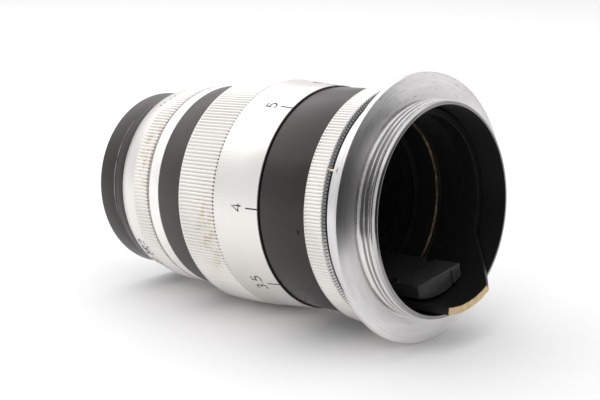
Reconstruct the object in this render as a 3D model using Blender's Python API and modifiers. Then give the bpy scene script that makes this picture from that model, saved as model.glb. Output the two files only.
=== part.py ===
"""Short telephoto lens with a 39 mm screw mount, a focusing helicoid and a rangefinder cam.

The lens is modelled in a lens frame whose local +Z runs along the optical axis from the mount
to the front rim, with zero on the flange's seat face. One empty turns that frame so that the
front faces world -Y, the mount faces +Y, +X stays +X and local +Y points up.
All sizes below are in millimetres; MM turns them into metres.
"""
import math

import bmesh
import bpy
from mathutils import Matrix, Vector

MM = 0.001

# ---- driving dimensions (mm, measured from the flange's seat face towards the front) ----
MOUNT_THREAD_R = 19.5        # 39 mm screw mount
MOUNT_BORE_R = 18.6
COLLAR_LENGTH = 4.28
FLANGE_R = 24.3
FLANGE_THICKNESS = 1.15
GROOVE_R = 21.3
GROOVE_FRONT = 4.7
FRONT_RIM = 69.5             # seat face to front rim
CAM_TAB_REACH = 7.31         # the cam tab's rear face lies this far behind the seat face
BARREL_R = 20.9
BARREL_FRONT = 21.1
SLEEVE_R = 19.7
SLEEVE_FRONT = 38.0
BARREL_BORE_R = 18.75
GRIP_R = 21.95
FOCUS_REAR = 21.3
FOCUS_FRONT = 41.5
FOCUS_REAR_R = 21.16
FOCUS_KNURL_REAR = 31.8
FOCUS_KNURL_R = 22.1
FOCUS_BORE_R = 19.95
HELICOID_REAR = 9.95
HEAD_REAR = 41.8
HEAD_FRONT = 49.1
HEAD_R = 20.2
HEAD_TUBE_BORE_R = 14.8
APERTURE_REAR = 52.3
APERTURE_FRONT = 61.2
APERTURE_BORE_R = 18.5
HOUSING_R = 18.3
HOUSING_BORE_R = 17.0
FILTER_RIM_R = 18.0
FILTER_BORE_R = 17.0         # 34 mm filter thread

# ---- iris ----
BLADE_COUNT = 10
BLADE_INNER_R = 10.9
BLADE_OUTER_R = 15.3
BLADE_PIVOT_R = 13.1
BLADE_PIN_R = 13.4
BLADE_PIN_ANGLE = 142.0      # degrees from the blade's pivot, seen from the optical axis
BLADE_HEEL = -6.0
BLADE_TAIL = 150.0
BLADE_STEP = 10.0
BLADE_THICKNESS = 0.05
IRIS_HAND = -1               # the blades close as the aperture ring turns from +Z towards +X
STACK_REAR = 50.35
STACK_RISE = 2.6             # heel to tail, so that each blade lies over the next one's heel
IRIS_PLATE_REAR = 49.2
IRIS_PLATE_FRONT = 50.1
ROTOR_REAR = 53.3
ROTOR_FRONT = 54.5
APERTURE_TURN = 80.4         # degrees from full aperture to the smallest
DRIVE_SCREW_ANGLE = 164.0    # between two slots of the rotor
DRIVE_SCREW_S = 53.9

# ---- angles round the axis, degrees from +X towards +Z ----
CAM_TAB_LOW = -118.0
CAM_TAB_HIGH = -78.0
CAM_SLOPE_END = -156.0
CAM_PLAIN_EDGE = 0.62        # the sleeve's rear edge away from the tab
BLOCK_ANGLE = -98.0
BLOCK_WIDTH = 12.7
BLOCK_FLAT = 12.4
BLOCK_REAR = -1.3
BLOCK_FRONT = 30.0
BLOCK_R = 16.05
BLOCK_SCREW_S = (3.9, 7.1)
SET_SCREW_ANGLE = 26.0

FINE = 40                    # sides of the large outer rings
COARSE = 28                  # sides of the inner pieces
SHARP_ANGLE = math.radians(32)

TOTAL_LENGTH = FRONT_RIM + CAM_TAB_REACH
CENTRE_S = (FRONT_RIM - CAM_TAB_REACH) / 2

# name: base colour, metallic, roughness
FINISHES = {
    "flange_metal": ((0.62, 0.62, 0.63), 1.0, 0.30),
    "satin_chrome": ((0.80, 0.79, 0.78), 1.0, 0.38),
    "black_gloss": ((0.020, 0.018, 0.018), 0.0, 0.18),
    "black_satin": ((0.022, 0.021, 0.021), 0.0, 0.42),
    "black_matt": ((0.012, 0.012, 0.012), 0.0, 0.75),
    "brass": ((0.70, 0.49, 0.22), 1.0, 0.35),
    "steel": ((0.45, 0.45, 0.46), 1.0, 0.35),
    "glass": ((0.80, 0.86, 0.90), 0.0, 0.03),
}


def clear_scene():
    for obj in list(bpy.data.objects):
        bpy.data.objects.remove(obj, do_unlink=True)


def make_collection(name):
    collection = bpy.data.collections.new(name)
    bpy.context.scene.collection.children.link(collection)
    return collection


def make_material(name, finish):
    """A Principled material of its own for one node."""
    colour, metallic, roughness = FINISHES[finish]
    material = bpy.data.materials.new(name)
    material.use_nodes = True
    shader = material.node_tree.nodes["Principled BSDF"]
    shader.inputs["Base Color"].default_value = (*colour, 1.0)
    shader.inputs["Metallic"].default_value = metallic
    shader.inputs["Roughness"].default_value = roughness
    if finish == "glass":
        shader.inputs["Transmission Weight"].default_value = 1.0
    return material


def make_empty(name, parent=None):
    empty = bpy.data.objects.new(name, None)
    PARTS.objects.link(empty)
    empty.parent = parent
    return empty


def link_part(name, mesh, finish, parent):
    obj = bpy.data.objects.new(name, mesh)
    PARTS.objects.link(obj)
    obj.parent = parent
    obj["finish"] = finish
    mesh.materials.append(make_material(name, finish))
    return obj


def link_cutter(name, mesh, parent):
    cutter = bpy.data.objects.new(name, mesh)
    CUTTERS.objects.link(cutter)
    cutter.parent = parent
    cutter.hide_render = True
    cutter.display_type = "WIRE"
    return cutter


def profile_mesh(name, outline, closed):
    """The half section of a turned piece in the XZ plane, from (radius, s) pairs."""
    points = [(radius * MM, 0.0, s * MM) for radius, s in outline]
    edges = [(i, i + 1) for i in range(len(points) - 1)]
    if closed:
        edges.append((len(points) - 1, 0))
    mesh = bpy.data.meshes.new(name)
    mesh.from_pydata(points, edges, [])
    return mesh


def add_screw(obj, steps):
    screw = obj.modifiers.new("turn", "SCREW")
    screw.axis = "Z"
    screw.angle = 2 * math.pi
    screw.steps = steps
    screw.render_steps = steps
    screw.use_smooth_shade = True
    screw.use_merge_vertices = True
    screw.merge_threshold = 0.00001


def turned(name, outer, inner, finish, parent, steps=COARSE):
    """A ring: outer points run front to rear, inner points rear to front."""
    obj = link_part(name, profile_mesh(name, outer + inner, True), finish, parent)
    add_screw(obj, steps)
    return obj


def tube(name, outer_r, inner_r, rear, front, finish, parent, steps=COARSE):
    outer = [(outer_r, front), (outer_r, rear)]
    return turned(name, outer, [(inner_r, rear), (inner_r, front)], finish, parent, steps)


def disc(name, outline, finish, parent, steps=COARSE):
    """A solid of revolution whose outline starts and ends on the axis, front to rear."""
    obj = link_part(name, profile_mesh(name, outline, False), finish, parent)
    add_screw(obj, steps)
    return obj


def surface_arc(apex, curve_r, rim_r, points=4):
    """Half section of a lens surface from the axis out to its rim.

    A positive curve_r falls back towards the rear away from the axis, a negative one rises."""
    arc = []
    for i in range(points):
        radius = rim_r * i / (points - 1)
        sag = abs(curve_r) - math.sqrt(curve_r ** 2 - radius ** 2)
        arc.append((radius, apex - math.copysign(sag, curve_r)))
    return arc


def lens_element(name, rim_r, front_apex, front_curve, rear_apex, rear_curve, parent):
    front = surface_arc(front_apex, front_curve, rim_r)
    rear = surface_arc(rear_apex, rear_curve, rim_r)
    return disc(name, front + rear[::-1], "glass", parent)


def box_mesh(name, low, high):
    """A box between two corners in mm."""
    size = [(b - a) * MM for a, b in zip(low, high)]
    centre = [(a + b) / 2 * MM for a, b in zip(low, high)]
    bm = bmesh.new()
    bmesh.ops.create_cube(bm, size=1.0)
    bmesh.ops.scale(bm, vec=size, verts=bm.verts)
    bmesh.ops.translate(bm, vec=centre, verts=bm.verts)
    mesh = bpy.data.meshes.new(name)
    bm.to_mesh(mesh)
    bm.free()
    return mesh


def add_cylinder(bm, radius, low, high, sides=16, matrix=Matrix()):
    """Add a capped cylinder along Z between low and high, in mm, then move it by matrix."""
    length = (high - low) * MM
    middle = Matrix.Translation((0, 0, (high + low) / 2 * MM))
    bmesh.ops.create_cone(bm, cap_ends=True, segments=sides, radius1=radius * MM,
                          radius2=radius * MM, depth=length, matrix=matrix @ middle)


def axial(radius, angle_deg):
    """Places a Z cylinder parallel to the axis, at a radius and an angle."""
    return Matrix.Rotation(math.radians(angle_deg), 4, "Z") @ Matrix.Translation((radius * MM, 0, 0))


def radial(s, angle_deg):
    """Places a Z cylinder so that it points outwards from the axis at height s."""
    lift = Matrix.Translation((0, 0, s * MM))
    return Matrix.Rotation(math.radians(angle_deg), 4, "Z") @ lift @ Matrix.Rotation(math.pi / 2, 4, "Y")


def cylinders_mesh(name, cylinders):
    """One mesh of separate cylinders: (radius, low, high, sides, matrix) each."""
    bm = bmesh.new()
    for radius, low, high, sides, matrix in cylinders:
        add_cylinder(bm, radius, low, high, sides, matrix)
    mesh = bpy.data.meshes.new(name)
    bm.to_mesh(mesh)
    bm.free()
    return mesh


def link_screws(name, screws, parent):
    """Plain screw shanks, each its own part, numbered from 1."""
    for index, screw in enumerate(screws, 1):
        numbered = f"{name}_{index}"
        link_part(numbered, cylinders_mesh(numbered, [screw]), "steel", parent)


def boolean(obj, tool, operation="DIFFERENCE"):
    modifier = obj.modifiers.new(operation.lower(), "BOOLEAN")
    modifier.operation = operation
    modifier.solver = "EXACT"
    modifier.object = tool


def drill(obj, name, cylinders, parent):
    boolean(obj, link_cutter(name, cylinders_mesh(name, cylinders), parent))


def evaluated_mesh(obj):
    bpy.context.view_layer.update()
    graph = bpy.context.evaluated_depsgraph_get()
    return bpy.data.meshes.new_from_object(obj.evaluated_get(graph))


def apply_modifiers(obj):
    mesh = evaluated_mesh(obj)
    obj.modifiers.clear()
    obj.data = mesh


def shade(obj):
    """Smooth round walls, sharp corners."""
    obj.data.shade_smooth()
    obj.data.set_sharp_from_angle(angle=SHARP_ANGLE)


# ---- mount, barrel and what is fixed to it ----

def build_mount_flange(parent):
    """Threaded collar, flange and hub in one turned piece, with three set-screw holes."""
    outer = [(GROOVE_R, GROOVE_FRONT), (GROOVE_R, FLANGE_THICKNESS),
             (FLANGE_R - 0.3, FLANGE_THICKNESS), (FLANGE_R, FLANGE_THICKNESS - 0.3),
             (FLANGE_R, 0.2), (FLANGE_R - 0.2, 0.0), (MOUNT_THREAD_R, 0.0),
             (MOUNT_THREAD_R, -COLLAR_LENGTH + 0.35), (MOUNT_THREAD_R - 0.35, -COLLAR_LENGTH)]
    inner = [(MOUNT_BORE_R, -COLLAR_LENGTH), (MOUNT_BORE_R, 2.0), (20.15, 2.0),
             (20.15, GROOVE_FRONT)]
    flange = turned("mount_flange", outer, inner, "flange_metal", parent, FINE)
    holes = [(0.75, 19.0, 22.0, 12, radial(3.3, SET_SCREW_ANGLE + 120 * i)) for i in range(3)]
    drill(flange, "set_screw_holes", holes, parent)
    screws = [(0.60, 20.25, 21.2, 12, radial(3.3, SET_SCREW_ANGLE + 120 * i)) for i in range(3)]
    link_screws("flange_set_screw", screws, parent)


def build_barrel(parent):
    """Black outer barrel: spigot in the flange, glossy band, sleeve under the focus ring."""
    outer = [(SLEEVE_R, SLEEVE_FRONT), (SLEEVE_R, BARREL_FRONT), (BARREL_R - 0.15, BARREL_FRONT),
             (BARREL_R, BARREL_FRONT - 0.2), (BARREL_R, 9.9), (20.1, 9.9), (20.1, 5.0),
             (20.0, 5.0), (20.0, 2.3)]
    inner = [(BARREL_BORE_R, 2.3), (BARREL_BORE_R, SLEEVE_FRONT)]
    barrel = turned("outer_barrel", outer, inner, "black_gloss", parent, FINE)
    drill(barrel, "barrel_stop_hole", [(0.80, 18.0, 20.5, 12, radial(35.6, -30))], parent)
    grip = [(GRIP_R - 0.2, 9.6), (GRIP_R, 9.4), (GRIP_R, 5.25), (GRIP_R - 0.25, 5.0)]
    turned("rear_grip_ring", grip, [(20.4, 5.0), (20.4, 9.6)], "satin_chrome", parent, FINE)
    stop = [(0.65, 18.95, 19.65, 12, radial(35.6, -30))]
    link_part("focus_stop_screw", cylinders_mesh("focus_stop_screw", stop), "steel", parent)


def build_guide_block(parent):
    """Straight guide for the head and the cam sleeve: a key whose foot reaches the barrel."""
    turn = make_empty("guide_block_place", parent)
    turn.rotation_euler = (0, 0, math.radians(BLOCK_ANGLE))
    half = BLOCK_WIDTH / 2
    key = box_mesh("guide_block", (BLOCK_FLAT, -half, BLOCK_REAR), (17.0, half, BLOCK_FRONT))
    block = link_part("guide_block", key, "black_matt", turn)
    core = link_cutter("block_round", cylinders_mesh(
        "block_round", [(BLOCK_R, -10, 40, 60, Matrix())]), parent)
    boolean(block, core, "INTERSECT")
    foot = link_cutter("block_foot", box_mesh("block_foot", (15.0, -3.0, 2.7), (18.4, 3.0, 8.3)), turn)
    boolean(block, foot, "UNION")
    slot = box_mesh("block_slot", (12.9, -3.85, -2.0), (15.8, -3.35, -0.8))
    boolean(block, link_cutter("block_slot", slot, turn))
    for name, side in (("block_notch_left", 5.6), ("block_notch_right", -5.6)):
        place = Matrix.Translation((0, side * MM, 5.4 * MM)) @ Matrix.Rotation(math.pi / 2, 4, "Y")
        notch = cylinders_mesh(name, [(1.25, 11.5, 13.6, 16, place)])
        boolean(block, link_cutter(name, notch, turn))
    head_r, shank_r = 1.2, 0.6
    for index, s in enumerate(BLOCK_SCREW_S, 1):
        out = Matrix.Translation((0, 0, s * MM)) @ Matrix.Rotation(math.pi / 2, 4, "Y")
        hole = [(0.0, 19.0), (shank_r + 0.15, 19.0), (shank_r + 0.15, 13.9), (head_r + 0.15, 13.9),
                (head_r + 0.15, 11.0), (0.0, 11.0)]
        cutter = link_cutter(f"block_screw_hole_{index}", profile_mesh("hole", hole, False), turn)
        add_screw(cutter, 16)
        cutter.matrix_local = out
        boolean(block, cutter)
        step = [(0.0, 12.7), (head_r, 12.7), (head_r, 13.7), (shank_r, 13.7), (shank_r, 18.2),
                (0.0, 18.2)]
        screw = disc(f"guide_block_screw_{index}", step[::-1], "steel", turn, 16)
        screw.matrix_local = out


# ---- rangefinder cam ----

def cam_edge(angle_deg):
    """Rear edge of the cam sleeve, in s, at an angle round the axis."""
    if CAM_TAB_LOW <= angle_deg <= CAM_TAB_HIGH:
        return -CAM_TAB_REACH
    if CAM_SLOPE_END < angle_deg < CAM_TAB_LOW:
        part = (angle_deg - CAM_SLOPE_END) / (CAM_TAB_LOW - CAM_SLOPE_END)
        return CAM_PLAIN_EDGE - part * (CAM_TAB_REACH + CAM_PLAIN_EDGE)
    return CAM_PLAIN_EDGE


def build_cam(parent):
    """Sliding sleeve with a rear tab that pushes the camera's rangefinder arm."""
    outer = [(18.1, 22.2), (18.1, -CAM_TAB_REACH)]
    inner = [(16.77, -CAM_TAB_REACH), (16.77, 9.8), (17.4, 9.8), (17.4, 22.2)]
    cam = turned("rangefinder_cam", outer, inner, "brass", parent, 60)
    apply_modifiers(cam)
    for vertex in cam.data.vertices:
        if vertex.co.z < 0:
            angle = math.degrees(math.atan2(vertex.co.y, vertex.co.x))
            vertex.co.z = cam_edge(round(angle, 3)) * MM
    slot = box_mesh("cam_key_slot", (15.5, -3.3, -0.3), (19.0, 3.3, 8.6))
    cutter = link_cutter("cam_key_slot", slot, parent)
    cutter.rotation_euler = (0, 0, math.radians(BLOCK_ANGLE))
    boolean(cam, cutter)


# ---- focusing parts ----

def build_focus(parent):
    """Focus ring, the brass helicoid it drives, its thrust ring and screws."""
    outer = [(FOCUS_KNURL_R - 0.3, FOCUS_FRONT), (FOCUS_KNURL_R, FOCUS_FRONT - 0.3),
             (FOCUS_KNURL_R, FOCUS_KNURL_REAR), (FOCUS_KNURL_R - 0.15, FOCUS_KNURL_REAR),
             (FOCUS_REAR_R, FOCUS_REAR)]
    inner = [(FOCUS_BORE_R, FOCUS_REAR), (FOCUS_BORE_R, 38.3), (18.85, 38.3), (18.85, 39.7),
             (FOCUS_BORE_R, 39.7), (FOCUS_BORE_R, FOCUS_FRONT)]
    ring = turned("focus_ring", outer, inner, "satin_chrome", parent, FINE)
    outer = [(19.7, 41.2), (19.7, 40.0), (18.6, 40.0), (18.6, 22.5), (17.2, 22.5),
             (17.2, HELICOID_REAR + 0.25), (16.95, HELICOID_REAR)]
    inner = [(16.3, HELICOID_REAR), (16.3, 25.0), (17.35, 25.0), (17.35, 41.2)]
    helicoid = turned("focus_helicoid", outer, inner, "brass", parent, COARSE)
    holes = [(0.45, 38.0, 42.0, 10, axial(19.2, 45 + 90 * i)) for i in range(4)]
    drill(ring, "focus_ring_screw_holes", holes, parent)
    drill(helicoid, "helicoid_screw_holes", holes, parent)
    screws = [(0.35, 38.6, 41.0, 10, axial(19.2, 45 + 90 * i)) for i in range(4)]
    link_screws("focus_ring_screw", screws, parent)
    tube("helicoid_thrust_ring", 17.1, 16.25, 38.9, 40.9, "brass", parent)


# ---- optical head ----

def build_head_tubes(parent):
    """Inner tube that carries the optics, and the black shell in front of the focus ring."""
    outer = [(17.1, 47.4), (17.1, 41.4), (16.0, 41.4), (16.0, 38.5), (17.1, 38.5), (17.1, 25.3),
             (16.1, 25.3), (16.1, 14.0)]
    inner = [(HEAD_TUBE_BORE_R, 14.0), (HEAD_TUBE_BORE_R, 47.4)]
    head_tube = turned("head_tube", outer, inner, "black_matt", parent, COARSE)
    slot = box_mesh("head_key_slot", (11.5, -6.6, 13.0), (18.0, 6.6, 31.5))
    cutter = link_cutter("head_key_slot", slot, parent)
    cutter.rotation_euler = (0, 0, math.radians(BLOCK_ANGLE))
    boolean(head_tube, cutter)
    outer = [(HEAD_R - 0.15, HEAD_FRONT), (HEAD_R, HEAD_FRONT - 0.15), (HEAD_R, HEAD_REAR)]
    inner = [(17.3, HEAD_REAR), (17.3, 47.6), (18.5, 47.6), (18.5, HEAD_FRONT)]
    turned("head_barrel", outer, inner, "black_gloss", parent, FINE)
    outer = [(19.85, 52.05), (20.0, 51.9), (20.0, 49.55), (19.85, 49.4)]
    turned("aperture_index_ring", outer, [(18.5, 49.4), (18.5, 52.05)], "satin_chrome", parent, FINE)
    tube("light_baffle", 14.6, 11.6, 33.0, 34.0, "black_matt", parent)


def build_rear_cell(parent):
    outer = [(12.4, 48.8), (12.4, 47.2), (14.6, 47.2), (14.6, 45.5), (12.4, 45.5), (12.4, 38.6)]
    inner = [(11.2, 38.6), (11.2, 44.15), (10.4, 44.15), (10.4, 48.8)]
    turned("rear_cell", outer, inner, "black_matt", parent)
    tube("rear_spacer", 11.0, 9.8, 42.8, 43.85, "black_matt", parent)
    tube("rear_retaining_ring", 12.2, 9.6, 37.2, 38.3, "black_matt", parent)
    lens_element("rear_inner_element", 10.2, 46.0, -22, 43.9, -60, parent)
    lens_element("rear_outer_element", 11.0, 43.5, 50, 39.7, -40, parent)


def build_front_cell(parent):
    outer = [(18.3, 64.3), (18.9, 61.5), (16.8, 61.5), (16.8, 56.6)]
    inner = [(11.1, 56.6), (11.1, 59.05), (12.8, 59.05), (12.8, 61.5), (15.4, 61.5), (15.4, 64.3)]
    turned("front_cell", outer, inner, "black_satin", parent, FINE)
    outer = [(FILTER_RIM_R - 0.2, FRONT_RIM), (FILTER_RIM_R, FRONT_RIM - 0.2), (FILTER_RIM_R, 64.6)]
    inner = [(FILTER_BORE_R, 64.6), (FILTER_BORE_R, FRONT_RIM)]
    turned("filter_ring", outer, inner, "black_satin", parent, FINE)
    outer = [(16.75, 67.3), (16.75, 64.65)]
    inner = [(14.6, 64.65), (14.6, 65.6)]
    turned("front_retaining_ring", outer, inner, "black_satin", parent, FINE)
    lens_element("front_element", 15.2, 67.0, 42, 62.8, 120, parent)
    lens_element("second_element", 12.6, 62.4, 36, 59.2, 600, parent)
    lens_element("third_element", 10.8, 58.95, 600, 57.6, 20.5, parent)


# ---- iris ----

def build_iris_housing(parent):
    """Drum with the pivot plate, a slot for the drive screw, and the cover in front."""
    outer = [(HOUSING_R, APERTURE_FRONT), (HOUSING_R, 47.8)]
    inner = [(17.3, 47.8), (17.3, IRIS_PLATE_REAR), (BLADE_INNER_R, IRIS_PLATE_REAR),
             (BLADE_INNER_R, IRIS_PLATE_FRONT), (HOUSING_BORE_R, IRIS_PLATE_FRONT),
             (HOUSING_BORE_R, APERTURE_FRONT)]
    housing = turned("iris_housing", outer, inner, "black_satin", parent, FINE)
    holes = [(0.45, 49.0, 50.3, 12, axial(BLADE_PIVOT_R, 360 * i / BLADE_COUNT))
             for i in range(BLADE_COUNT)]
    drill(housing, "blade_pivot_holes", holes, parent)
    ends = (DRIVE_SCREW_ANGLE - IRIS_HAND * 3, DRIVE_SCREW_ANGLE + IRIS_HAND * (APERTURE_TURN + 3))
    slot = ring_sector_mesh("drive_slot", 16.6, 18.9, DRIVE_SCREW_S - 0.65, DRIVE_SCREW_S + 0.65,
                            min(ends), max(ends))
    boolean(housing, link_cutter("drive_slot", slot, parent))
    tube("iris_cover", 16.8, 11.4, 54.8, 55.5, "black_matt", parent)


def ring_sector_mesh(name, inner_r, outer_r, rear, front, start, end, step=6.0):
    """Part of a flat ring between two angles."""
    return swept_mesh(name, inner_r, outer_r, front - rear, start, end, step, lambda angle: rear)


def swept_mesh(name, inner_r, outer_r, thickness, start, end, step, rear_at, hand=1):
    """A bar of rectangular section swept round the axis; rear_at gives its rear face by angle."""
    count = max(1, round((end - start) / step))
    bm = bmesh.new()
    sections = []
    for i in range(count + 1):
        angle = start + (end - start) * i / count
        rear = rear_at(angle)
        x, y = math.cos(math.radians(angle)), hand * math.sin(math.radians(angle))
        corners = ((inner_r, rear), (outer_r, rear), (outer_r, rear + thickness),
                   (inner_r, rear + thickness))
        sections.append([bm.verts.new((r * x * MM, r * y * MM, s * MM)) for r, s in corners])
    bm.faces.new(sections[0])
    for low, high in zip(sections, sections[1:]):
        for i in range(4):
            j = (i + 1) % 4
            bm.faces.new((low[j], low[i], high[i], high[j]))
    bm.faces.new(sections[-1][::-1])
    bmesh.ops.recalc_face_normals(bm, faces=bm.faces)
    mesh = bpy.data.meshes.new(name)
    bm.to_mesh(mesh)
    bm.free()
    return mesh


def blade_rear(angle):
    return STACK_REAR + STACK_RISE * (angle - BLADE_HEEL) / (BLADE_TAIL - BLADE_HEEL)


def build_blades(parent):
    """Curved blades that rise from heel to tail; the pivot pin points back, the drive pin forward."""
    for index in range(BLADE_COUNT):
        name = f"iris_blade_{index + 1:02d}"
        mesh = swept_mesh(name, BLADE_INNER_R, BLADE_OUTER_R, BLADE_THICKNESS, BLADE_HEEL,
                          BLADE_TAIL, BLADE_STEP, blade_rear, IRIS_HAND)
        blade = link_part(name, mesh, "steel", parent)
        pins = [(0.38, IRIS_PLATE_REAR + 0.2, blade_rear(0) + 0.03, 6, axial(BLADE_PIVOT_R, 0)),
                (0.35, blade_rear(BLADE_PIN_ANGLE) + 0.02, ROTOR_FRONT - 0.3, 6,
                 axial(BLADE_PIN_R, IRIS_HAND * BLADE_PIN_ANGLE))]
        tool = link_cutter(name + "_pins", cylinders_mesh(name + "_pins", pins), parent)
        boolean(blade, tool, "UNION")
        apply_modifiers(blade)
        tool.hide_viewport = True
        pivot = Vector((BLADE_PIVOT_R * MM, 0, STACK_REAR * MM))
        blade.data.transform(Matrix.Translation(-pivot))
        turn = Matrix.Rotation(2 * math.pi * index / BLADE_COUNT, 4, "Z")
        blade.matrix_local = turn @ Matrix.Translation(pivot)


def build_aperture(parent):
    """Aperture ring, the slotted rotor inside it and the screw that joins them."""
    outer = [(19.1, APERTURE_FRONT), (19.95, 56.8), (19.95, 56.7), (20.1, 56.6), (20.1, 52.65),
             (19.7, 52.55), (19.7, APERTURE_REAR)]
    inner = [(APERTURE_BORE_R, APERTURE_REAR), (APERTURE_BORE_R, APERTURE_FRONT)]
    ring = turned("aperture_ring", outer, inner, "satin_chrome", parent, FINE)
    rotor = tube("iris_rotor", 16.8, 11.2, ROTOR_REAR, ROTOR_FRONT, "brass", parent, 40)
    bm = bmesh.new()
    for index in range(BLADE_COUNT):
        angle = IRIS_HAND * BLADE_PIN_ANGLE + 360 * index / BLADE_COUNT
        spin = Matrix.Rotation(math.radians(angle), 4, "Z")
        cube = bmesh.ops.create_cube(bm, size=1.0)["verts"]
        bmesh.ops.scale(bm, vec=(2.9 * MM, 1.2 * MM, 3 * MM), verts=cube)
        bmesh.ops.translate(bm, vec=(13.0 * MM, 0, 53.9 * MM), verts=cube)
        bmesh.ops.transform(bm, matrix=spin, verts=cube)
    mesh = bpy.data.meshes.new("rotor_slots")
    bm.to_mesh(mesh)
    bm.free()
    boolean(rotor, link_cutter("rotor_slots", mesh, parent))
    place = radial(DRIVE_SCREW_S, DRIVE_SCREW_ANGLE)
    drill(rotor, "rotor_drive_hole", [(0.45, 15.6, 18.0, 12, place)], parent)
    drill(ring, "ring_drive_hole", [(0.55, 18.0, 21.0, 12, place)], parent)
    screw = [(0.38, 15.9, 19.6, 12, place)]
    link_part("aperture_drive_screw", cylinders_mesh("aperture_drive_screw", screw), "steel", parent)


def main():
    axis = make_empty("optical_axis")
    axis.location = (0, CENTRE_S * MM, FLANGE_R * MM)
    axis.rotation_euler = (math.pi / 2, 0, 0)
    groups = {name: make_empty(name, axis) for name in (
        "fixed_barrel_group", "cam_slide_group", "head_slide_group")}
    for name in ("focus_turn_group", "aperture_turn_group"):
        groups[name] = make_empty(name, groups["head_slide_group"])
    build_mount_flange(groups["fixed_barrel_group"])
    build_barrel(groups["fixed_barrel_group"])
    build_guide_block(groups["fixed_barrel_group"])
    build_cam(groups["cam_slide_group"])
    build_focus(groups["focus_turn_group"])
    build_head_tubes(groups["head_slide_group"])
    build_rear_cell(groups["head_slide_group"])
    build_front_cell(groups["head_slide_group"])
    build_iris_housing(groups["head_slide_group"])
    build_blades(groups["head_slide_group"])
    build_aperture(groups["aperture_turn_group"])
    parts = [obj for obj in PARTS.objects if obj.type == "MESH"]
    for obj in parts:
        apply_modifiers(obj)
        shade(obj)


clear_scene()
PARTS = make_collection("screw_mount_lens")
CUTTERS = make_collection("cutters")
main()
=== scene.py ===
"""Looks of a screw-mount telephoto lens: fine turned surfaces, knurls, threads, engraving, glass.

Lens coordinates are millimetres: radius from the optical axis, angle round it from +X towards +Z,
and height s from the flange's seat face towards the front (world -Y). lens_point() turns them
into the frame's metres.
"""
import math

import bmesh
import bpy
import numpy as np
from mathutils import Matrix, Vector


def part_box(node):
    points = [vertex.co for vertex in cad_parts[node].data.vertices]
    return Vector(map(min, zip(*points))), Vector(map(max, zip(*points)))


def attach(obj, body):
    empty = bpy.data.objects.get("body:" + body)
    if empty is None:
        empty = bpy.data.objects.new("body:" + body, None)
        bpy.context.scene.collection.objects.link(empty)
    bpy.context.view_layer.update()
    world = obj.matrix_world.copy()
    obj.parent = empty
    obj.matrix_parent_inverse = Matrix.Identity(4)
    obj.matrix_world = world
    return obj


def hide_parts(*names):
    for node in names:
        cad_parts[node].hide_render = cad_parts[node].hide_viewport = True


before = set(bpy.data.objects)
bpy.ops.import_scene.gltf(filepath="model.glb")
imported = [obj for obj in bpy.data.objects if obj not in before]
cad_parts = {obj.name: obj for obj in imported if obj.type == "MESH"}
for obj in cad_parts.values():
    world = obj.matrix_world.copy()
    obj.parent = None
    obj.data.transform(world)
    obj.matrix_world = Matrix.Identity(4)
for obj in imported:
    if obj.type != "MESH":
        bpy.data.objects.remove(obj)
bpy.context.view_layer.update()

MM = 0.001
TAU = 2 * math.pi

# ---- driving dimensions, mm ----
FRONT_RIM = 69.5              # seat face to front rim
COLLAR_LENGTH = 4.28
MOUNT_PITCH = 25.4 / 26
MOUNT_THREAD_R = 19.5
MOUNT_BORE_R = 18.6
FLANGE_R = 24.3
FLANGE_THICKNESS = 1.15
HUB_R = 21.3
HUB_FRONT = 4.7
GRIP_R = 21.95
BARREL_R = 20.9
SLEEVE_R = 19.7
BARREL_FRONT = 21.1
FOCUS_REAR = 21.3
FOCUS_REAR_R = 21.16
KNURL_REAR = 31.8
KNURL_FRONT = 41.5
KNURL_R = 22.1
HEAD_REAR, HEAD_FRONT, HEAD_R = 41.8, 49.1, 20.2
INDEX_RING_R = 20.0
BAND_REAR, BAND_FRONT = 56.8, 61.2       # aperture numerals' band
BAND_REAR_R, BAND_FRONT_R = 19.95, 19.1
FILTER_PITCH = 0.5
CAM_TAB_REACH = 7.31
HELICOID_REAR = 9.95
BLADE_COUNT = 10
STEPS_PER_TOOTH = 6

# ---- screws and key: angles in degrees, heights in mm ----
SET_SCREW_ANGLES = (26, 146, 266)
SET_SCREW_S = 3.3
STOP_SCREW_ANGLE, STOP_SCREW_S = -30, 35.6
DRIVE_SCREW_ANGLE, DRIVE_SCREW_S = 164, 53.9      # it joins the aperture ring and the rotor
KEY_ANGLE = -98               # guide block and the slots that clear it

# ---- dial ----
INDEX_ANGLE = -113.0          # both indexes sit on one line, degrees
FOCAL_LENGTH = 100.0
FEET = 304.8
PRINCIPAL_SPACE = 210.0       # film plane distance less this is the object distance of 1:1 optics
DEG_PER_MM = 24.4             # focus ring turn for each mm of travel
BLUR = 0.03                   # circle of confusion of the depth scale
INFINITY_ANGLE = 245.1
TICK_REAR, TICK_FRONT = 21.45, 24.2
NUMERAL_HEIGHT = 2.3
MARK_PROUD = 0.012            # filling paint stands this far out of its engraving
MARK_DEPTH = 0.15

# ---- finishes ----
PAINT_SHEEN = (1.0, 0.88, 0.88)          # old black paint reflects a little warm
GRIP_REFLECTION_S = 5.58            # painted dark reflection greys the grip ring's rear chamfer behind this height
PALE_LINE_S = 65.1            # a pale line runs round one side of the filter ring here
CHIP_ANGLE, CHIP_S = -5.0, 11.9          # one chip in the barrel's paint

# ---- stage, metres and watts ----
SKY_COLOUR = (0.98, 0.975, 0.985)
SKY_STRENGTH = 0.92
TOP_POWER = 3.0
FILL_POWER = 1.1
FLOOR_SIZE = 6.0
FLOOR_GLOW = 0.01             # light through the white table, as a share of white
CARD_X, CARD_Y, CARD_Z = (-0.050, 0.16), 0.094, (0.0, 0.088)

# ---- frame: where the lens stands in the row frame ----
AXIS_Z = (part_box("mount_flange")[0].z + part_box("mount_flange")[1].z) / 2
SEAT_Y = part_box("filter_ring")[0].y + FRONT_RIM * MM


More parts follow.
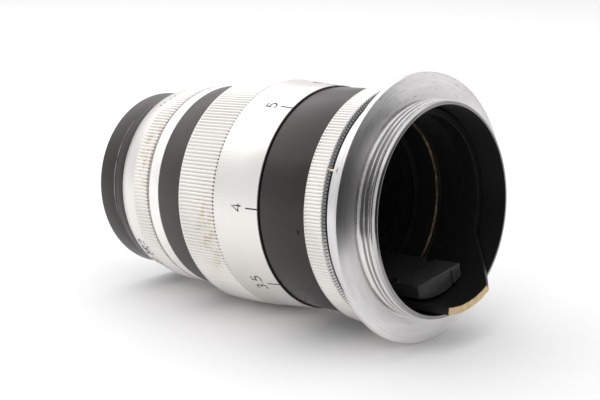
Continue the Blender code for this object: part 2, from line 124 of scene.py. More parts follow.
def lens_point(radius, angle, s):
    """Metres in the frame from radius and height in mm and an angle in radians (numbers or arrays)."""
    return radius * np.cos(angle) * MM, SEAT_Y - s * MM, AXIS_Z + radius * np.sin(angle) * MM


# ---- node helpers ----

def new_material(name, **sockets):
    """A Principled material; sockets are named with underscores for spaces, colours are (r, g, b)."""
    material = bpy.data.materials.new(name)
    material.use_nodes = True
    shader = material.node_tree.nodes["Principled BSDF"]
    for label, value in sockets.items():
        value = (*value, 1.0) if isinstance(value, tuple) else value
        shader.inputs[label.replace("_", " ")].default_value = value
    return material


class Nodes:
    """A new material and short ways to add and join its shader nodes."""

    def __init__(self, name, **sockets):
        self.material = new_material(name, **sockets)
        self.tree = self.material.node_tree
        self.shader = self.tree.nodes["Principled BSDF"]
        self.radius, self.s, self.cosine, self.sine = self.find_place()

    def link(self, source, target):
        self.tree.links.new(source, target)

    def drive(self, label, source):
        """Link one of the shader's own inputs."""
        self.link(source, self.shader.inputs[label])

    def feed(self, socket, value):
        """Give a socket a number or colour, or link another socket to it."""
        if isinstance(value, (int, float)):
            socket.default_value = value
        elif isinstance(value, tuple):
            socket.default_value = (*value, 1.0)
        else:
            self.link(value, socket)

    def math(self, operation, a, b=0.0, clamp=False):
        node = self.tree.nodes.new("ShaderNodeMath")
        node.operation = operation
        node.use_clamp = clamp
        for socket, value in zip(node.inputs, (a, b)):
            self.feed(socket, value)
        return node.outputs[0]

    def times(self, a, b, clamp=False):
        return self.math("MULTIPLY", a, b, clamp)

    def plus(self, a, b):
        return self.math("ADD", a, b)

    def minus(self, a, b):
        return self.math("SUBTRACT", a, b)

    def near(self, value, centre, full, none):
        """1 where a value is within full of the centre, fading to 0 at none."""
        return self.map_range(self.math("ABSOLUTE", self.minus(value, centre)), full, none, 1.0, 0.0)

    def combine(self, x, y, z):
        node = self.tree.nodes.new("ShaderNodeCombineXYZ")
        for socket, value in zip(node.inputs, (x, y, z)):
            self.feed(socket, value)
        return node.outputs[0]

    def find_place(self):
        """Sockets for radius (mm), height s (mm), cosine and sine of the angle."""
        coordinates = self.tree.nodes.new("ShaderNodeTexCoord").outputs["Object"]
        split = self.tree.nodes.new("ShaderNodeSeparateXYZ")
        self.link(coordinates, split.inputs[0])
        x = self.times(split.outputs[0], 1000.0)
        up = self.times(self.minus(split.outputs[2], AXIS_Z), 1000.0)
        s = self.times(self.minus(SEAT_Y, split.outputs[1]), 1000.0)
        square = self.plus(self.times(x, x), self.times(up, up))
        radius = self.math("MAXIMUM", self.math("SQRT", square), 0.001)
        return radius, s, self.math("DIVIDE", x, radius), self.math("DIVIDE", up, radius)

    def noise(self, vector, scale, detail):
        node = self.tree.nodes.new("ShaderNodeTexNoise")
        self.link(vector, node.inputs["Vector"])
        node.inputs["Scale"].default_value = scale
        node.inputs["Detail"].default_value = detail
        return node.outputs["Fac"]

    def ramp(self, factor, stops):
        """A grey or coloured ramp from (position, value) or (position, (r, g, b)) stops."""
        node = self.tree.nodes.new("ShaderNodeValToRGB")
        ramp = node.color_ramp
        while len(ramp.elements) < len(stops):
            ramp.elements.new(0.5)
        for element, (position, value) in zip(ramp.elements, stops):
            element.position = position
            colour = (value, value, value) if isinstance(value, (int, float)) else value
            element.color = (*colour, 1.0)
        self.link(factor, node.inputs[0])
        return node.outputs[0]

    def mix_colour(self, factor, a, b):
        node = self.tree.nodes.new("ShaderNodeMix")
        node.data_type = "RGBA"
        self.link(factor, node.inputs["Factor"])
        for socket, value in zip((node.inputs[6], node.inputs[7]), (a, b)):
            self.feed(socket, value)
        return node.outputs[2]

    def map_range(self, value, low, high, to_low=0.0, to_high=1.0):
        node = self.tree.nodes.new("ShaderNodeMapRange")
        self.link(value, node.inputs[0])
        for socket, number in zip(node.inputs[1:5], (low, high, to_low, to_high)):
            socket.default_value = number
        return node.outputs[0]

    def bump(self, height, strength, distance=0.00002):
        node = self.tree.nodes.new("ShaderNodeBump")
        node.inputs["Strength"].default_value = strength
        node.inputs["Distance"].default_value = distance
        self.link(height, node.inputs["Height"])
        return node.outputs[0]


def lathe_lines(nodes, per_mm, wander=0.15):
    """Noise that runs round the axis as turning marks do, changing along radius and height."""
    along = nodes.times(nodes.plus(nodes.radius, nodes.s), per_mm)
    vector = nodes.combine(along, nodes.times(nodes.cosine, wander), nodes.times(nodes.sine, wander))
    return nodes.noise(vector, 1.0, 2.0)


def round_noise(nodes, per_radian, per_mm, detail=3.0, shift=0.0):
    """Seamless noise on a cylinder, stretched as wanted round it and along it."""
    along = nodes.times(nodes.plus(nodes.s, nodes.radius), per_mm)
    vector = nodes.combine(nodes.times(nodes.cosine, per_radian), nodes.times(nodes.sine, per_radian),
                           nodes.plus(along, shift))
    return nodes.noise(vector, 1.0, detail)


# ---- materials ----

def cloudy_material(name, cloud, roughness, tones=None, lines=None, **sockets):
    """A finish whose roughness, and tone if wanted, drift together, with turning marks if wanted.

    cloud is (per radian, per mm, detail), tones are ramp stops, lines are (per mm, strength, depth in m).
    """
    nodes = Nodes(name, **sockets)
    drift = round_noise(nodes, *cloud)
    nodes.drive("Roughness", nodes.map_range(drift, 0.3, 0.7, *roughness))
    if tones:
        nodes.drive("Base Color", nodes.ramp(drift, tones))
    if lines:
        per_mm, strength, depth = lines
        nodes.drive("Normal", nodes.bump(lathe_lines(nodes, per_mm), strength, depth))
    return nodes.material


def satin_chrome_material():
    """White satin chrome: soft even sheen, faint turning marks, cloudy handling wear."""
    tones = [(0.35, (0.91, 0.89, 0.855)), (0.60, (0.965, 0.95, 0.92))]
    return cloudy_material("satin_chrome", (3.0, 0.25, 4.0), (0.50, 0.58), tones, (9.0, 0.10, 0.00002),
                           Metallic=1.0)


def knurled_chrome_material(name, stain_angle, stain_width, stain_s, stain_reach, paint_and_shadow_edge=-99.0,
                            reflection_edge=-99.0):
    """Satin chrome with brown grime in one stretch of the knurl; painted shade blackens the deepest valley
    ends.

    The rear edge may be black, black paint with painted gap shadow, or bluish grey, a painted dark
    reflection.
    """
    nodes = Nodes(name)
    toward = nodes.plus(nodes.times(nodes.cosine, math.cos(math.radians(stain_angle))),
                        nodes.times(nodes.sine, math.sin(math.radians(stain_angle))))
    near_angle = nodes.map_range(toward, math.cos(math.radians(stain_width)), 1.0)
    near_s = nodes.near(nodes.s, stain_s, 0.0, stain_reach)
    patches = nodes.map_range(round_noise(nodes, 9.0, 0.8, 3.0), 0.42, 0.62)
    groove = nodes.map_range(radius_drop(nodes), 0.04, 0.20)
    grime = nodes.times(patches, nodes.plus(groove, 0.18))
    stain = nodes.times(nodes.times(near_angle, near_s), grime, True)
    # the knurl's valleys are darker, more where they are deeper
    darker_valleys = nodes.times(groove, 0.20)
    metal = nodes.mix_colour(darker_valleys, (0.79, 0.765, 0.735), (0.44, 0.41, 0.38))
    # painted dark reflection: behind the given edge height the rear chamfer turns bluish grey on its upper
    # side
    upper_side = nodes.map_range(nodes.sine, -0.30, 0.0, 0.0, 0.9)
    painted_edge_reflection = nodes.times(nodes.map_range(nodes.s, reflection_edge, reflection_edge - 0.06), upper_side)
    metal = nodes.mix_colour(painted_edge_reflection, metal, (0.21, 0.215, 0.235))
    colour = nodes.mix_colour(stain, metal, (0.46, 0.35, 0.16))
    # painted shade: valleys deeper than 0.26 mm, at the knurl's rear ends, are black; behind the given edge
    # height the rear edge is black too, black paint with painted gap shadow
    painted_pocket_shade = nodes.map_range(radius_drop(nodes), 0.26, 0.36)
    black = nodes.math("MAXIMUM", painted_pocket_shade, nodes.map_range(nodes.s, paint_and_shadow_edge, paint_and_shadow_edge - 0.06))
    nodes.drive("Base Color", nodes.mix_colour(black, colour, (0.012, 0.011, 0.011)))
    matt = nodes.math("MAXIMUM", black, nodes.times(stain, 0.8))
    nodes.drive("Metallic", nodes.minus(1.0, matt))
    cloud = round_noise(nodes, 3.0, 0.25, 4.0)
    nodes.drive("Roughness", nodes.map_range(cloud, 0.3, 0.7, 0.28, 0.40))
    return nodes.material


def radius_drop(nodes):
    """How far (mm) a point of a knurl lies under the ring's crest radius, written per vertex."""
    attribute = nodes.tree.nodes.new("ShaderNodeAttribute")
    attribute.attribute_name = "depth_mm"
    return attribute.outputs["Fac"]


def flange_material():
    """Bright turned metal with ring-shaped tool marks and scratches; the collar's bore is painted black.

    Painted shade darkens the thread roots.
    """
    nodes = Nodes("flange_metal", Anisotropic=0.9, Anisotropic_Rotation=0.25, Specular_IOR_Level=0.2)
    tangent = nodes.tree.nodes.new("ShaderNodeTangent")
    tangent.direction_type = "RADIAL"
    tangent.axis = "Y"
    nodes.drive("Tangent", tangent.outputs[0])
    cloud = round_noise(nodes, 1.6, 0.3, 3.0)
    rings = nodes.map_range(lathe_lines(nodes, 7.0, 0.9), 0.52, 0.66)
    scuff = nodes.map_range(round_noise(nodes, 14.0, 3.0, 4.0, 7.0), 0.54, 0.62)
    worn_side = nodes.map_range(nodes.sine, 0.60, 0.95, 0.12, 1.0)
    scratch = nodes.times(nodes.times(rings, scuff), worn_side)
    tone = nodes.ramp(cloud, [(0.35, (0.74, 0.73, 0.73)), (0.62, (0.90, 0.89, 0.885))])
    lined = nodes.mix_colour(nodes.times(rings, 0.22), tone, (0.50, 0.49, 0.49))
    marked = nodes.mix_colour(nodes.times(scratch, 0.8), lined, (0.16, 0.15, 0.15))
    # painted shade: the thread roots darken towards their bottoms
    root = nodes.map_range(nodes.radius, MOUNT_THREAD_R - 0.04, MOUNT_THREAD_R - 0.32, 0.0, 0.8)
    in_thread = nodes.map_range(nodes.s, -0.70, -0.80)
    marked = nodes.mix_colour(nodes.times(root, in_thread), marked, (0.14, 0.135, 0.135))
    bore = nodes.map_range(nodes.radius, MOUNT_BORE_R + 0.14, MOUNT_BORE_R + 0.10)
    nodes.drive("Base Color", nodes.mix_colour(bore, marked, (0.008, 0.0075, 0.008)))
    nodes.drive("Metallic", nodes.minus(1.0, bore))
    face = nodes.map_range(nodes.radius, MOUNT_THREAD_R + 0.1, MOUNT_THREAD_R + 0.4, 0.24, 0.38)
    nodes.drive("Roughness", nodes.plus(face, nodes.times(bore, 0.35)))
    nodes.drive("Normal", nodes.bump(lathe_lines(nodes, 14.0, 0.05), 0.20))
    return nodes.material


def black_gloss_material(name, tone, shine_low, shine_high):
    """Glossy black paint with smears and dust; the chip lies on the barrel only."""
    black = (tone, tone * 0.85, tone * 0.85)
    nodes = Nodes(name, Specular_Tint=PAINT_SHEEN)
    smear = round_noise(nodes, 2.0, 0.15, 4.0, 3.0)
    shine = nodes.map_range(smear, 0.35, 0.70, shine_low, shine_high)
    dust = nodes.map_range(round_noise(nodes, 90.0, 5.0, 2.0, 5.0), 0.70, 0.78)
    dusty = nodes.mix_colour(nodes.times(dust, 0.4), black, (0.12, 0.11, 0.11))
    aside = nodes.times(BARREL_R, nodes.minus(nodes.sine, math.sin(math.radians(CHIP_ANGLE))))
    along = nodes.minus(nodes.s, CHIP_S)
    far = nodes.math("SQRT", nodes.plus(nodes.times(aside, aside), nodes.times(along, along)))
    far = nodes.plus(far, nodes.times(round_noise(nodes, 60.0, 4.0), 0.9))
    chip = nodes.times(nodes.map_range(far, 0.85, 0.70), nodes.map_range(nodes.cosine, 0.5, 0.6))
    nodes.drive("Base Color", nodes.mix_colour(chip, dusty, (0.001, 0.001, 0.001)))
    nodes.drive("Roughness", nodes.plus(shine, nodes.times(chip, 0.6)))
    nodes.drive("Normal", nodes.bump(round_noise(nodes, 18.0, 1.0, 2.0), 0.04))
    return nodes.material


def black_satin_material(name, tone, level):
    """Satin black of the front rings, with fine pale turning lines and one pale line on one side."""
    black = (tone, tone * 0.9, tone * 0.9)
    nodes = Nodes(name, Specular_IOR_Level=level, Specular_Tint=PAINT_SHEEN)
    lines = lathe_lines(nodes, 5.0, 0.8)
    fine = nodes.map_range(lathe_lines(nodes, 16.0, 1.2), 0.60, 0.72)
    nodes.drive("Roughness", nodes.map_range(lines, 0.35, 0.65, 0.28, 0.44))
    lined = nodes.mix_colour(nodes.times(fine, 0.35), black, (0.10, 0.095, 0.095))
    # a pale line round the ring at one height, on one side only and in patches
    line = nodes.near(nodes.s, PALE_LINE_S, 0.05, 0.09)
    side = nodes.near(nodes.sine, 0.25, 0.35, 0.60)
    patches = nodes.map_range(round_noise(nodes, 12.0, 0.5, 3.0, 4.0), 0.36, 0.56, 0.15, 1.0)
    marked = nodes.times(nodes.times(line, side), patches)
    nodes.drive("Base Color", nodes.mix_colour(marked, lined, (0.34, 0.325, 0.32)))
    nodes.drive("Normal", nodes.bump(lines, 0.20))
    return nodes.material


def black_matt_material():
    """Matt black anodising inside the lens, a little dusty."""
    return cloudy_material("black_matt", (6.0, 0.6, 4.0), (0.52, 0.72), [(0.35, 0.006), (0.70, 0.014)],
                           (6.0, 0.3, 0.00003), Specular_IOR_Level=0.22)


def block_material():
    """Black paint with a soft, slightly cloudy sheen."""
    return cloudy_material("block_black", (9.0, 1.0, 4.0), (0.40, 0.56), [(0.35, 0.018), (0.70, 0.036)])


def brass_material():
    """Turned brass, slightly tarnished."""
    tones = [(0.32, (0.42, 0.27, 0.11)), (0.62, (0.78, 0.56, 0.27))]
    return cloudy_material("turned_brass", (7.0, 0.9, 4.0), (0.25, 0.45), tones, (8.0, 0.2, 0.00002),
                           Metallic=1.0)


def blackened_brass_material(name, bare_below, fade, patchy=-1.0):
    """Blackened brass, bare behind one height; patchy wear keeps to the -X side."""
    black = (0.010, 0.009, 0.009)
    nodes = Nodes(name, Specular_IOR_Level=0.16)
    ragged = nodes.times(nodes.minus(round_noise(nodes, 40.0, 3.0, 3.0), 0.5), fade)
    bare = nodes.map_range(nodes.plus(nodes.s, ragged), bare_below, bare_below - 0.05)
    rubbed = nodes.map_range(round_noise(nodes, 7.0, 0.6, 4.0, 2.0), patchy, patchy + 0.25)
    bare = nodes.times(bare, rubbed)
    if patchy > 0:
        bare = nodes.times(bare, nodes.map_range(nodes.cosine, -0.70, -0.96, 0.12, 1.0))
    cloud = round_noise(nodes, 12.0, 1.5, 3.0)
    metal = nodes.ramp(cloud, [(0.30, (0.50, 0.36, 0.19)), (0.65, (0.74, 0.58, 0.36))])
    nodes.drive("Base Color", nodes.mix_colour(bare, black, metal))
    nodes.drive("Metallic", bare)
    nodes.drive("Roughness", nodes.map_range(cloud, 0.3, 0.7, 0.35, 0.55))
    return nodes.material


def steel_material():
    """Bright steel of the screws, unevenly polished."""
    return cloudy_material("screw_steel", (25.0, 2.0, 3.0), (0.22, 0.42), Base_Color=(0.55, 0.55, 0.56),
                           Metallic=1.0)


def blade_material():
    """Blued steel of the iris blades, a little cloudy."""
    tones = [(0.35, (0.07, 0.07, 0.085)), (0.65, (0.16, 0.155, 0.165))]
    return cloudy_material("blade_steel", (8.0, 0.4, 4.0), (0.28, 0.45), tones, Metallic=1.0)


def glass_material():
    """Single-coated optical glass with a faint violet reflection."""
    return new_material("coated_glass", Base_Color=(0.96, 0.97, 1.0), Roughness=0.01,
                        Transmission_Weight=1.0, IOR=1.6, Specular_Tint=(0.62, 0.50, 1.0))


def paint_material(name, colour):
    """Filling paint in engraved marks, slightly uneven."""
    nodes = Nodes(name, Roughness=0.45)
    cloud = round_noise(nodes, 60.0, 6.0, 2.0)
    light = tuple(min(1.0, c * 1.5 + 0.01) for c in colour)
    nodes.drive("Base Color", nodes.ramp(cloud, [(0.40, colour), (0.75, light)]))
    return nodes.material


def floor_material():
    """White sweep with a barely visible grain."""
    nodes = Nodes("white_sweep", Roughness=0.75, Emission_Color=(1.0, 1.0, 1.0),
                  Emission_Strength=FLOOR_GLOW)
    coordinates = nodes.tree.nodes.new("ShaderNodeTexCoord").outputs["Object"]
    grain = nodes.noise(coordinates, 60.0, 3.0)
    nodes.drive("Base Color", nodes.ramp(grain, [(0.3, (0.885, 0.88, 0.88)), (0.7, (0.90, 0.895, 0.895))]))
    return nodes.material


MATERIALS = {
    "satin_chrome": satin_chrome_material(),
    # focus ring: behind FOCUS_REAR + 0.20 the rear edge is black, its black paint plus a painted shadow of
    # the gap behind it
    "focus_knurl": knurled_chrome_material("focus_knurl", -14.0, 24.0, 34.6, 3.4, FOCUS_REAR + 0.20),
    "aperture_knurl": knurled_chrome_material("aperture_knurl", 28.0, 26.0, 54.3, 3.0),
    "grip_knurl": knurled_chrome_material("grip_knurl", 120.0, 20.0, 7.3, 3.0, reflection_edge=GRIP_REFLECTION_S),
    "flange_metal": flange_material(),
    "black_gloss": black_gloss_material("black_gloss", 0.005, 0.22, 0.36),
    # the head band's black is lighter than the barrel's: a painted sheen
    "head_black": black_gloss_material("head_black", 0.034, 0.34, 0.46),
    "black_satin": black_satin_material("black_satin", 0.016, 0.45),
    # the front cell's darker black is painted shade that evens out its cone's brighter reflection
    "cell_black": black_satin_material("cell_black", 0.010, 0.32),
    "black_matt": black_matt_material(),
    "block_black": block_material(),
    "brass": brass_material(),
    "cam_brass": blackened_brass_material("cam_brass", -CAM_TAB_REACH + 0.10, 0.2),
    "helicoid_brass": blackened_brass_material("helicoid_brass", HELICOID_REAR + 0.09, 0.3, 0.30),
    "screw_steel": steel_material(),
    "blade_steel": blade_material(),
    "glass": glass_material(),
    "black_paint": paint_material("black_paint", (0.012, 0.011, 0.011)),
    "white_paint": paint_material("white_paint", (0.80, 0.79, 0.76)),
    "brass_mark": paint_material("brass_mark", (0.62, 0.56, 0.40)),
    "red_paint": paint_material("red_paint", (0.55, 0.05, 0.04)),
}


# ---- mesh helpers ----

def finish_piece(obj, material, body, slot, *replaced, sharp=30.0):
    """Shade a piece, give it its material, parent it to its body and hide the CAD nodes it replaces."""
    obj.data.materials.clear()
    obj.data.materials.append(MATERIALS[material])
    obj.data.shade_smooth()
    obj.data.set_sharp_from_angle(angle=math.radians(sharp))
    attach(obj, body)
    if replaced:
        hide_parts(*replaced)


def link_object(name, data):
    """Put a mesh, light or camera into the scene."""
    obj = bpy.data.objects.new(name, data)
    bpy.context.scene.collection.objects.link(obj)
    return obj


def bmesh_object(name, bm):
    """An object from a finished bmesh, which is freed."""
    mesh = bpy.data.meshes.new(name)
    bm.to_mesh(mesh)
    bm.free()
    return link_object(name, mesh)


def ring_object(name, radius, height, angle, depth=None):
    """A closed ring from arrays: rows run round the section, columns round the axis."""
    radius, height, angle = np.broadcast_arrays(radius, height, angle)
    rows, columns = radius.shape
    x, y, z = lens_point(radius, angle, height)
    vertices = np.stack((x, y, z), axis=-1).reshape(-1, 3)
    row, column = np.meshgrid(np.arange(rows), np.arange(columns), indexing="ij")
    next_row, next_column = (row + 1) % rows, (column + 1) % columns
    corners = ((row, column), (next_row, column), (next_row, next_column), (row, next_column))
    faces = np.stack([r * columns + c for r, c in corners], axis=-1).reshape(-1, 4)
    mesh = bpy.data.meshes.new(name)
    mesh.from_pydata(vertices.tolist(), [], faces.tolist())
    if depth is not None:
        mesh.attributes.new("depth_mm", "FLOAT", "POINT").data.foreach_set("value", depth.ravel())
    return link_object(name, mesh)


def soften(corners, segments=3):
    """Rounds the corners of a closed outline; a corner is (radius, s) or (radius, s, bevel)."""
    points = []
    count = len(corners)
    for i, corner in enumerate(corners):
        here = Vector(corner[:2])
        bevel = corner[2] if len(corner) > 2 else 0.0
        if bevel == 0.0:
            points.append(tuple(here))
            continue
        before = Vector(corners[i - 1][:2]) - here
        after = Vector(corners[(i + 1) % count][:2]) - here
        start = here + before.normalized() * bevel
        end = here + after.normalized() * bevel
        for k in range(segments + 1):
            t = k / segments
            points.append(tuple((1 - t) ** 2 * start + 2 * t * (1 - t) * here + t ** 2 * end))
    return points


def turned(name, corners, steps=256):
    """A ring turned from a closed outline: outside front to rear, then inside rear to front."""
    outline = np.array(soften(corners))
    angle = np.linspace(0, TAU, steps, endpoint=False)
    return ring_object(name, outline[:, :1], outline[:, 1:], angle)


def knurled(name, rows, teeth):
    """A ring with straight teeth: rows are (radius, s, tooth depth), outside then inside."""
    rows = np.array([(*row, 0.0)[:3] for row in rows])
    angle = np.linspace(0, TAU, teeth * STEPS_PER_TOOTH, endpoint=False)
    valley = (0.5 - 0.5 * np.cos(teeth * angle)) ** 1.6
    drop = rows[:, 2:] * valley
    return ring_object(name, rows[:, :1] - drop, rows[:, 1:2], angle, drop)


def threaded(name, rows, pitch, depth, steps=256, inside=False):
    """A ring with a screw thread on the rows whose third value is its share of full depth."""
    rows = np.array([(*row, 0.0)[:3] for row in rows])
    angle = np.linspace(0, TAU, steps, endpoint=False)
    turns = rows[:, 1:2] / pitch - angle / TAU
    flank = (0.5 - 0.5 * np.cos(TAU * turns)) ** 0.8
    drop = rows[:, 2:] * depth * flank
    radius = rows[:, :1] + (drop if inside else -drop)
    return ring_object(name, radius, rows[:, 1:2], angle, drop)


def thread_rows(radius, start, end, pitch, per_pitch, fade=0.6):
    """Rows of a threaded stretch that fades in and out over part of a pitch at its ends."""
    count = max(2, round(abs(end - start) / pitch * per_pitch))
    rows = []
    for i in range(count + 1):
        s = start + (end - start) * i / count
        reach = min(abs(s - start), abs(end - s)) / (fade * pitch)
        rows.append((radius, s, min(1.0, reach)))
    return rows


def solid_turned(name, outline, steps=128):
    """A solid of revolution; the outline runs from the front pole to the rear pole."""
    bm = bmesh.new()
    front = bm.verts.new(lens_point(0.0, 0.0, outline[0][1]))
    rings = []
    for radius, s in outline[1:-1]:
        rings.append([bm.verts.new(lens_point(radius, TAU * i / steps, s)) for i in range(steps)])
    rear = bm.verts.new(lens_point(0.0, 0.0, outline[-1][1]))
    for i in range(steps):
        j = (i + 1) % steps
        bm.faces.new((front, rings[0][i], rings[0][j]))
        for upper, lower in zip(rings, rings[1:]):
            bm.faces.new((upper[i], lower[i], lower[j], upper[j]))
        bm.faces.new((rear, rings[-1][j], rings[-1][i]))
    return bmesh_object(name, bm)


def boolean(obj, tool, operation="DIFFERENCE"):
    """Cut or join at once and drop the tool."""
    modifier = obj.modifiers.new("cut", "BOOLEAN")
    modifier.operation = operation
    modifier.solver = "EXACT"
    modifier.object = tool
    bpy.context.view_layer.update()
    graph = bpy.context.evaluated_depsgraph_get()
    mesh = bpy.data.meshes.new_from_object(obj.evaluated_get(graph))
    obj.modifiers.clear()
    obj.data = mesh
    bpy.data.objects.remove(tool, do_unlink=True)


def cut_box(obj, low, high, matrix, operation="DIFFERENCE"):
    """Cut a box away, or join one on."""
    boolean(obj, box_object("tool", low, high, matrix), operation)


def cut_pin(obj, outline, matrix, sides=40):
    """Cut a turned hole."""
    boolean(obj, pin_object("tool", outline, matrix, sides))


def bevel_edges(obj, width):
    """Ease every edge of a plain box by a width in mm."""
    bm = bmesh.new()
    bm.from_mesh(obj.data)
    bmesh.ops.bevel(bm, geom=bm.edges, offset=width * MM, segments=2, profile=0.5, affect="EDGES")
    bm.to_mesh(obj.data)
    bm.free()


X_TO_FRONT = Matrix.Rotation(-math.pi / 2, 4, "Y")     # lays a pin parallel to the lens axis


def lens_matrix(radius, angle_deg, s):
    """Local X points away from the axis, local Y round it, local Z to the front."""
    angle = math.radians(angle_deg)
    out = Vector((math.cos(angle), 0, math.sin(angle)))
    front = Vector((0, -1, 0))
    side = front.cross(out)
    matrix = Matrix((out, side, front)).transposed().to_4x4()
    matrix.translation = lens_point(radius, angle, s)
    return matrix


def box_object(name, low, high, matrix):
    """A box between two corners in mm, placed by a matrix."""
    bm = bmesh.new()
    bmesh.ops.create_cube(bm, size=1.0)
    bmesh.ops.scale(bm, vec=[(b - a) * MM for a, b in zip(low, high)], verts=bm.verts)
    bmesh.ops.translate(bm, vec=[(a + b) / 2 * MM for a, b in zip(low, high)], verts=bm.verts)
    bmesh.ops.transform(bm, matrix=matrix, verts=bm.verts)
    return bmesh_object(name, bm)


def pin_object(name, outline, matrix, sides=40):
    """A turned pin along the matrix's X axis from (radius, distance) pairs, outer end first."""
    bm = bmesh.new()
    rings = []
    for radius, distance in outline:
        ring = []
        for i in range(sides):
            a = TAU * i / sides
            point = Vector((distance * MM, radius * math.cos(a) * MM, radius * math.sin(a) * MM))
            ring.append(bm.verts.new(matrix @ point))
        rings.append(ring)
    bm.faces.new(rings[0])
    for upper, lower in zip(rings, rings[1:]):
        for i in range(sides):
            j = (i + 1) % sides
            bm.faces.new((upper[j], upper[i], lower[i], lower[j]))
    bm.faces.new(rings[-1][::-1])
    bmesh.ops.recalc_face_normals(bm, faces=bm.faces)
    return bmesh_object(name, bm)


# ---- engraving ----

def arc(cx, cy, rx, ry, start, end, count=10):
    """Points of an elliptic arc between two angles in degrees."""
    angles = [math.radians(start + (end - start) * i / count) for i in range(count + 1)]
    return [(cx + rx * math.cos(a), cy + ry * math.sin(a)) for a in angles]


# strokes of the engraved characters, each in a cell 0.6 wide and 1 high; "~" is the infinity sign
GLYPHS = {
    "0": [arc(0.3, 0.5, 0.26, 0.48, 90, 450, 20)],
    "1": [[(0.14, 0.80), (0.33, 0.99), (0.33, 0.01)]],
    "2": [arc(0.3, 0.71, 0.25, 0.27, 165, -38) + [(0.04, 0.02), (0.57, 0.02)]],
    "3": [arc(0.28, 0.74, 0.23, 0.24, 150, -90), arc(0.28, 0.26, 0.27, 0.25, 90, -150)],
    "4": [[(0.44, 0.01), (0.44, 0.99), (0.02, 0.29), (0.60, 0.29)]],
    "5": [[(0.53, 0.98), (0.13, 0.98), (0.09, 0.55)] + arc(0.28, 0.31, 0.28, 0.30, 120, -140)],
    "6": [arc(0.52, 0.40, 0.48, 0.58, 100, 180) + arc(0.3, 0.30, 0.26, 0.29, 165, 525, 20)],
    "7": [[(0.03, 0.98), (0.56, 0.98), (0.20, 0.01)]],
    "8": [arc(0.3, 0.75, 0.21, 0.23, 90, 450, 18), arc(0.3, 0.27, 0.26, 0.26, 90, 450, 20)],
    ".": [[(0.10, 0.05), (0.20, 0.05)]],
    "~": [arc(0.24, 0.3, 0.22, 0.2, 45, 315, 14) + arc(0.72, 0.3, 0.22, 0.2, 135, -135, 14)
          + [(0.40, 0.44)]],
}
CELL_WIDTHS = {".": 0.28, "~": 1.12, "1": 0.58}
CELL_WIDTH = 0.76
CELL_GAP = 0.16


def text_paths(text, height, angle_deg, middle_s, radius_at):
    """Strokes of a word on the lens, centred at an angle, as lists of (radius, angle, s)."""
    widths = [CELL_WIDTHS.get(character, CELL_WIDTH) for character in text]
    cursor = (CELL_GAP - sum(widths)) / 2
    paths = []
    for character, width in zip(text, widths):
        for stroke in GLYPHS[character]:
            path = []
            for x, y in stroke:
                s = middle_s + (y - 0.5) * height
                radius = radius_at(s)
                path.append((radius, math.radians(angle_deg) + (cursor + x) * height / radius, s))
            paths.append(path)
        cursor += width
    return paths


def ribbon(bm, path, width):
    """One stroke of filling paint: a thin bar that follows the path, flush with the surface."""
    flat = np.array([(angle * radius, s) for radius, angle, s in path])
    steps = np.diff(flat, axis=0)
    steps /= np.maximum(np.linalg.norm(steps, axis=1, keepdims=True), 1e-9)
    ahead = np.vstack((steps, steps[-1:]))
    behind = np.vstack((steps[:1], steps))
    along = ahead + behind
    along /= np.maximum(np.linalg.norm(along, axis=1, keepdims=True), 1e-9)
    reach = np.minimum(1.6, 1 / np.maximum(0.3, (along * ahead).sum(axis=1)))
    rows = []
    for (radius, angle, s), (du, dv), stretch in zip(path, along, reach):
        half = width / 2 * stretch
        corners = []
        for side, lift in ((1, MARK_PROUD), (-1, MARK_PROUD), (-1, -MARK_DEPTH), (1, -MARK_DEPTH)):
            turn = angle - side * half * dv / radius
            corners.append(bm.verts.new(lens_point(radius + lift, turn, s + side * half * du)))
        rows.append(corners)
    for near, far in zip(rows, rows[1:]):
        for i in range(4):
            j = (i + 1) % 4
            bm.faces.new((near[i], near[j], far[j], far[i]))
    bm.faces.new(rows[0][::-1])
    bm.faces.new(rows[-1])


def engraved_marks(name, paths, width, material, body, slot):
    """All the strokes of one scale as one piece."""
    bm = bmesh.new()
    for path in paths:
        ribbon(bm, path, width)
    bmesh.ops.recalc_face_normals(bm, faces=bm.faces)
    finish_piece(bmesh_object(name, bm), material, body, slot)


def line_path(angle_deg, s_from, s_to, radius_at, points=4):
    """One straight line along the lens."""
    heights = [s_from + (s_to - s_from) * i / (points - 1) for i in range(points)]
    return [(radius_at(s), math.radians(angle_deg), s) for s in heights]


def focus_radius(s):
    """Radius of the focus ring's tapered scale part."""
    part = (s - FOCUS_REAR) / (KNURL_REAR - FOCUS_REAR)
    return FOCUS_REAR_R + (KNURL_R - 0.15 - FOCUS_REAR_R) * part


def band_radius(s):
    """Radius of the aperture numerals' band."""
    part = (s - BAND_REAR) / (BAND_FRONT - BAND_REAR)
    return BAND_REAR_R + (BAND_FRONT_R - BAND_REAR_R) * part


def distance_angle(feet):
    """Angle of a distance mark, from the travel that the lens needs at that distance."""
    travel = FOCAL_LENGTH ** 2 / (feet * FEET - PRINCIPAL_SPACE)
    return INFINITY_ANGLE - DEG_PER_MM * travel


def stop_angle(stop):
    """Angle of an f-number: the blades swing by equal steps for equal turns of the ring."""
    open_r, inner_r, pivot_r = 10.8, 10.9, 13.1
    ring_turn, blade_swing = 80.4, 41.0
    swing = 2 * math.asin((inner_r - open_r * 3.5 / stop) / (2 * pivot_r))
    return INDEX_ANGLE + math.degrees(swing) / blade_swing * ring_turn


# ---- fixed barrel ----

